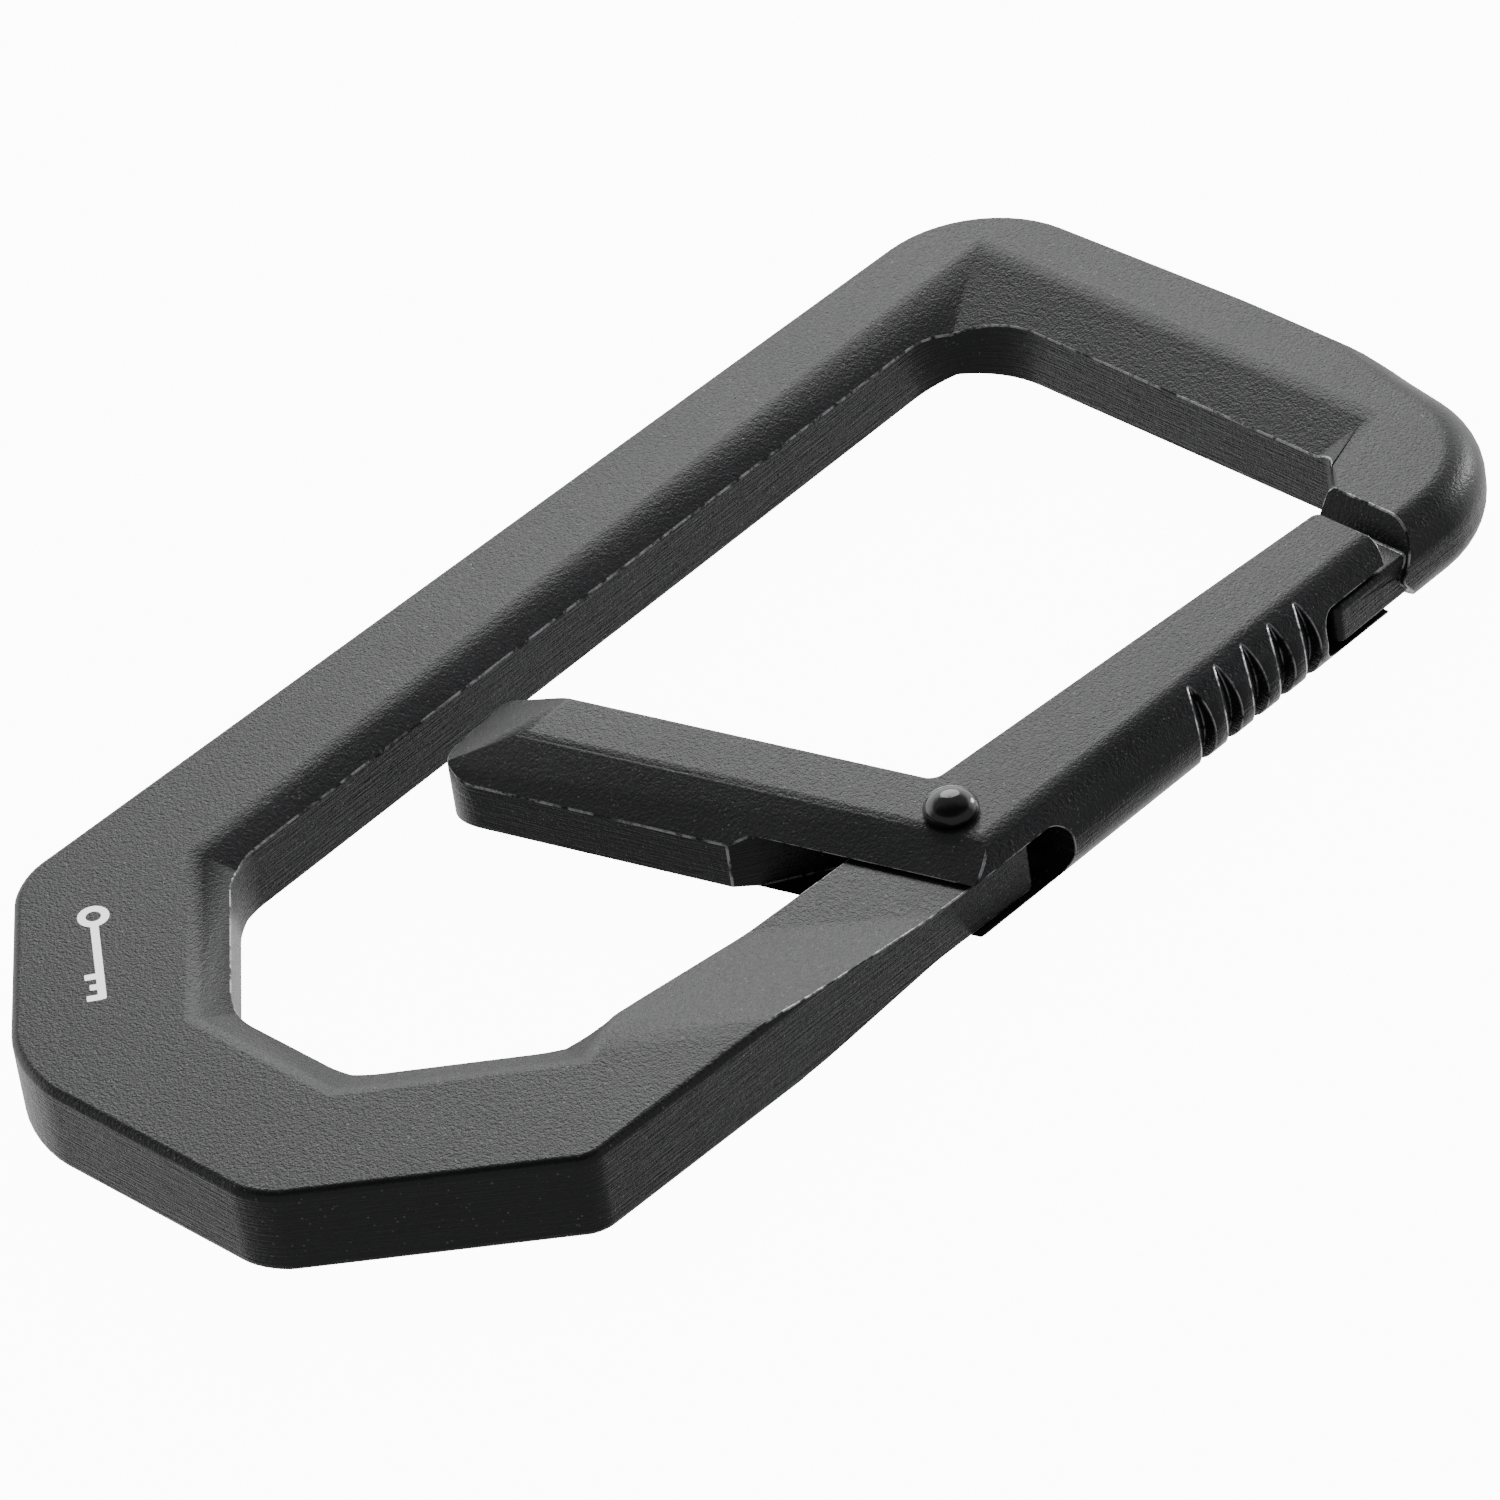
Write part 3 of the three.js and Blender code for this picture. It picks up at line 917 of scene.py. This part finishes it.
class KEYRING_OT_lever(bpy.types.Operator):
    """Model the lever that is both the gate and the divider, with its slots and thumb grooves"""

    bl_idname = "keyring.make_lever"
    bl_label = "Make Gate Lever"

    def execute(self, context):
        sizes = context.scene.keyring_sizes
        top = sizes.thickness / 2
        piece = block("gate_lever_look", self.corners(), -top, top)
        round_rims(piece, 0.25, segments=4)
        combine(piece, "INTERSECT", self.half_round(sizes))
        combine(piece, "DIFFERENCE", *self.bevel_cuts(sizes))
        even_faces(piece)
        combine(piece, "DIFFERENCE", self.arm_end_cut(top), self.hinge_slot(), self.tab_slot())
        combine(piece, "DIFFERENCE", *self.grooves(sizes))
        combine(piece, "DIFFERENCE", *self.bores())
        finish = context.scene.keyring_finish
        wear(piece, blasted_coat("lever_coat", finish, lines=0.5), rim_wear_and_highlight("lever_rim_wear_and_highlight", finish))
        break_edges(piece, sizes.broken_edge)
        bring_to_size(piece)
        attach(piece, "lever_body")
        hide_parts("gate_lever")
        return {"FINISHED"}

    @staticmethod
    def corners():
        """The lever's outline: an arm to the nose and a divider up between the loops."""
        return [
            (ARM_END, GATE_SIDE - 0.4),
            (ARM_END, 0.72, 0.5),
            (*on_divider(1.97, -2.1), 0.7),
            (-4.85, 25.1, 0.6),
            (-11.5, 24.4, 2.4),
            (-3.5, GATE_SIDE - 0.4, 1.2),
        ]

    @staticmethod
    def half_round(sizes):
        """The shape whose one side rolls over into a half round along the arm."""
        top = sizes.thickness / 2
        piece = block("half_round", [
            (45, GATE_SIDE),
            (45, 45),
            (-25, 45),
            (-25, 10),
            (-3.6, GATE_SIDE),
        ], -top, top)
        round_rims(piece, sizes.half_round, segments=12)
        return piece

    @staticmethod
    def bevel_cuts(sizes):
        """The divider's long chamfer on the key side, and the slope down to its tip."""
        top = sizes.thickness / 2
        chamfer_slope = 0.32
        tip_slope = 0.33
        chamfer = long_block("divider_cut", [
            (-2.4, top + CLEAR),
            (1.2, top + CLEAR, sizes.crease_round * 0.7),
            (5.4, top - 4.2 * chamfer_slope),
            (5.4, top + 2),
            (-2.4, top + 2),
        ], -6, 31)
        put(chamfer, turn=(0, 0, DIVIDER_ANGLE))
        tip = long_block("tip_cut", [
            (18, top + CLEAR),
            (21.5, top + CLEAR, sizes.crease_round * 0.5),
            (28, top - 6.5 * tip_slope),
            (28, top + 2),
            (18, top + 2),
        ], -16, 2)
        return [chamfer, tip]

    @staticmethod
    def arm_end_cut(top):
        """Hollows the arm's end to a shallow V that meets the nose."""
        slope = 0.6
        return cross_block("arm_end_cut", [
            (ARM_END - slope * top, 0, 0.4),
            (ARM_END + slope, -top - 1),
            (34, -top - 1),
            (34, top + 1),
            (ARM_END + slope, top + 1),
        ], -8, 4)

    @staticmethod
    def hinge_slot():
        """The slot that takes the frame's tongue and leg, with a round end towards the nose."""
        half = 1.55
        end = 3.5
        piece = block("hinge_slot", [
            (end - half, -8),
            (end - half, 0.85),
            on_divider(1.1, -1.76),
            on_divider(2.2, -1.76),
            (*on_divider(10.6, 5.2), 1),
            on_divider(10.6, 12),
            (-16, -8),
        ], -half, half)
        round_end = cross_block("slot_end", [
            (end, -half, 1.2),
            (end, half, 1.2),
            (-2, half),
            (-2, -half),
        ], -8, 0.85)
        return combine(piece, "UNION", round_end)

    @staticmethod
    def tab_slot():
        """The slot that closes over the nose's latch tab."""
        half = 1.4
        return cross_block("tab_slot", [
            (22.3, -half, 1.0),
            (31, -half),
            (31, half),
            (22.3, half, 1.0),
        ], -8, -0.2)

    @staticmethod
    def bores():
        """The bore for spring and plunger along the arm, the pin's hole and the recess for its tail."""
        return [
            rod("bore", 1.15, 12.2, turn=(0, math.pi / 2, 0), place=(9.1, -0.35, 0)),
            rod("pin_hole", 0.77, THROUGH),
            rod("tail_recess", 1.22, 1, place=(0, 0, -2.2)),
        ]

    @staticmethod
    def grooves(sizes):
        """Thumb grooves: a steep wall towards the nose and a slope towards the hinge."""
        first = 13.85
        axis_y = -0.16
        deep = 3.56
        shallow = 4.4
        outside = 6
        width = 1.2
        profile = [(0, -deep, 0), (-width, -shallow, 0), (-width, -outside, 0), (0, -outside, 0)]
        made = []
        for i in range(sizes.groove_count):
            ring = turned("groove", profile, (1, 0, 0))
            made.append(put(ring, place=(first + i * sizes.groove_pitch, axis_y, 0)))
        return made


class KEYRING_OT_pin(bpy.types.Operator):
    """Model the hinge pin with its domed head"""

    bl_idname = "keyring.make_pin"
    bl_label = "Make Hinge Pin"

    def execute(self, context):
        sizes = context.scene.keyring_sizes
        piece = turned("hinge_pin_look", self.profile(sizes), (0, 0, 1))
        bring_to_size(piece)
        wear(piece, gloss_black("pin_gloss"))
        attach(piece, "frame_body")
        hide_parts("hinge_pin")
        return {"FINISHED"}

    @staticmethod
    def profile(sizes):
        """Half the pin's section: a flared tail, a shank, and a head whose dome is a squared-off arc."""
        top = sizes.thickness / 2
        tail = -top + 0.03
        base = top + 0.05
        shank = 0.65
        lip = 0.12
        head = (PIN_HIGH.z - HINGE.z) / MM
        radius = sizes.pin_head
        fullness = 0.85
        points = [(0, 0, tail), (1.1, 0, tail), (shank, 0, -top + 0.6), (shank, 0, base)]
        points.append((radius - lip / 2, 0, base))
        steps = 14
        for i in range(steps):
            angle = math.pi / 2 * i / steps
            rise = base + lip + (head - base - lip) * math.sin(angle)
            points.append((radius * math.cos(angle) ** fullness, 0, rise))
        points.append((0, 0, head))
        return points


class KEYRING_OT_inner(bpy.types.Operator):
    """Give the plunger and the coil spring inside the lever their finish"""

    bl_idname = "keyring.finish_inner_pieces"
    bl_label = "Finish Plunger and Spring"

    def execute(self, context):
        ground = (0.45, 0.45, 0.46)
        drawn = (0.55, 0.55, 0.56)
        wear(frame["nodes"]["gate_plunger"], bright_steel("plunger_steel_finish", ground))
        wear(frame["nodes"]["gate_spring"], bright_steel("spring_steel_finish", drawn))
        return {"FINISHED"}


class KEYRING_OT_mark(bpy.types.Operator):
    """Model the small printed key mark on the frame's corner"""

    bl_idname = "keyring.make_mark"
    bl_label = "Make Key Mark"

    def execute(self, context):
        sizes = context.scene.keyring_sizes
        low = sizes.thickness / 2 + CLEAR
        ink = 0.02
        high = low + ink
        length = sizes.mark_length
        stroke = 0.4
        bow_radius = 0.78
        bow = rod("key_mark_look", bow_radius, high - low, place=(0, 0, (high + low) / 2))
        combine(bow, "DIFFERENCE", rod("bow_hole", bow_radius - stroke, 1, place=(0, 0, low)))
        shaft = block("shaft", [
            (0.6, -stroke / 2),
            (length - bow_radius, -stroke / 2, 0.1),
            (length - bow_radius, stroke / 2, 0.1),
            (0.6, stroke / 2),
        ], low, high)
        bits = []
        for place, drop in ((length - 1.15, 0.75), (length - 1.95, 0.55), (length - 2.75, 0.75)):
            bits.append(block("bit", [
                (place, 0),
                (place + stroke, 0),
                (place + stroke, -drop, 0.06),
                (place, -drop, 0.06),
            ], low, high))
        combine(bow, "UNION", shaft, *bits)
        heading = math.atan2(-5.4, -4.6)
        put(bow, turn=(0, 0, heading), place=(-29.3, 29.1, 0))
        bring_to_size(bow)
        wear(bow, print_ink_with_painted_glow("mark_ink", context.scene.keyring_finish.ink_colour))
        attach(bow, "frame_body")
        return {"FINISHED"}


# ---------------------------------------------------------------- stage


class KEYRING_OT_stage(bpy.types.Operator):
    """Set up the pale floor, the studio light and the camera"""

    bl_idname = "keyring.make_stage"
    bl_label = "Make Stage"

    def execute(self, context):
        stage = context.scene.keyring_stage
        self.floor(stage)
        self.surroundings(context.scene, stage)
        self.soft_light("key_light", place=(0.3, 0.29, 0.31), size=0.24, power=0.46)
        self.soft_light("side_light", place=(0.47, -0.07, 0.12), size=0.12, power=0.4)
        self.camera(context.scene, stage)
        return {"FINISHED"}

    @staticmethod
    def floor(stage):
        """A floor just below the keyring that the camera sees and the keyring doesn't mirror."""
        drop = 0.0002
        cells = 8
        only()
        bpy.ops.mesh.primitive_grid_add(
            x_subdivisions=cells, y_subdivisions=cells, size=4, location=(0, 0, -drop)
        )
        floor = bpy.context.object
        floor.name = "floor"
        bpy.ops.object.transform_apply(location=True)
        floor.visible_glossy = False
        floor.visible_diffuse = False
        wear(floor, pale_floor("floor_paper", stage.floor_brightness))

    @staticmethod
    def surroundings(scene, stage):
        """Surroundings lit low from behind, and dim overhead and in front."""
        world = bpy.data.worlds.new("studio")
        world.use_nodes = True
        scene.world = world
        nodes = Nodes(world.node_tree)
        where = nodes.node("ShaderNodeTexCoord")
        rise = nodes.node("ShaderNodeSeparateXYZ", None, {0: where}, output=2)
        light = nodes.node("ShaderNodeValToRGB", None, {"Fac": (rise + 1) * 0.5})
        over = stage.overhead_light / stage.horizon_light
        stops = [
            (-1.0, 0.8),
            (-0.3, 0.8),
            (0.0, 0.9),
            (0.08, 1.0),
            (0.46, 1.0),
            (0.67, 1.6 * over),
            (1.0, over),
        ]
        elements = light.socket.node.color_ramp.elements
        while len(elements) < len(stops):
            elements.new(0.5)
        for element, (height, level) in zip(elements, stops):
            element.position = (height + 1) / 2
            element.color = (level, level, level, 1)
        away = (math.sin(stage.heading), math.cos(stage.heading), 0)
        behind = nodes.node(
            "ShaderNodeVectorMath", {"operation": "DOT_PRODUCT"}, {0: where, 1: away}, output=1
        )
        share = nodes.node(
            "ShaderNodeMapRange",
            {"interpolation_type": "SMOOTHSTEP"},
            {"Value": behind, "From Min": -0.12, "From Max": 0.45, "To Min": stage.front_light},
        )
        background = world.node_tree.nodes["Background"]
        nodes.plug(background.inputs["Color"], light)
        nodes.plug(background.inputs["Strength"], share * stage.horizon_light)

    @staticmethod
    def soft_light(name, place, size, power):
        """A round area light that faces the keyring."""
        only()
        bpy.ops.object.light_add(type="AREA", location=place)
        light = bpy.context.object
        light.name = name
        light.data.shape = "DISK"
        light.data.size = size
        light.data.energy = power
        light.rotation_euler = (-Vector(place)).to_track_quat("-Z", "Y").to_euler()

    @staticmethod
    def camera(scene, stage):
        """Looks at the target from its elevation and heading, tilted by its roll."""
        turn = Matrix.Rotation(stage.heading, 3, "Z")
        sin = math.sin(stage.elevation)
        cos = math.cos(stage.elevation)
        tip = Matrix(((1, 0, 0), (0, sin, cos), (0, -cos, sin)))
        axes = Matrix.Rotation(stage.roll, 3, "Z") @ tip @ turn
        back = Vector(axes[2])
        bpy.ops.object.camera_add(location=Vector(stage.target) + back * stage.distance)
        camera = bpy.context.object
        camera.name = "camera"
        camera.rotation_euler = axes.transposed().to_euler()
        camera.data.lens = stage.lens
        camera.data.sensor_width = 36
        camera.data.clip_start = 0.01
        camera.data.clip_end = 20
        scene.camera = camera


class KEYRING_PT_panel(bpy.types.Panel):
    """Lists the keyring's pieces and settings"""

    bl_label = "Carabiner Keyring"
    bl_idname = "KEYRING_PT_panel"
    bl_space_type = "VIEW_3D"
    bl_region_type = "UI"
    bl_category = "Keyring"

    def draw(self, context):
        layout = self.layout
        for group, kind in SETTINGS:
            box = layout.box()
            for name in kind.__annotations__:
                box.prop(getattr(context.scene, group), name)
        for operator in OPERATORS:
            layout.operator(operator.bl_idname)


SETTINGS = (
    ("keyring_sizes", KeyringSizes),
    ("keyring_finish", KeyringFinish),
    ("keyring_stage", KeyringStage),
)
OPERATORS = (
    KEYRING_OT_frame,
    KEYRING_OT_lever,
    KEYRING_OT_pin,
    KEYRING_OT_inner,
    KEYRING_OT_mark,
    KEYRING_OT_stage,
)


def register():
    """Adds the settings, the operators and the panel to Blender."""
    for name, group in SETTINGS:
        bpy.utils.register_class(group)
        setattr(bpy.types.Scene, name, bpy.props.PointerProperty(type=group))
    for operator in OPERATORS:
        bpy.utils.register_class(operator)
    bpy.utils.register_class(KEYRING_PT_panel)


def unregister():
    """Takes them out again, in the opposite order."""
    bpy.utils.unregister_class(KEYRING_PT_panel)
    for operator in reversed(OPERATORS):
        bpy.utils.unregister_class(operator)
    for name, group in reversed(SETTINGS):
        delattr(bpy.types.Scene, name)
        bpy.utils.unregister_class(group)


def main():
    """Builds the whole keyring."""
    register()
    bpy.ops.keyring.make_frame()
    bpy.ops.keyring.make_lever()
    bpy.ops.keyring.make_pin()
    bpy.ops.keyring.finish_inner_pieces()
    bpy.ops.keyring.make_mark()
    bpy.ops.keyring.make_stage()


if __name__ == "__main__":
    main()
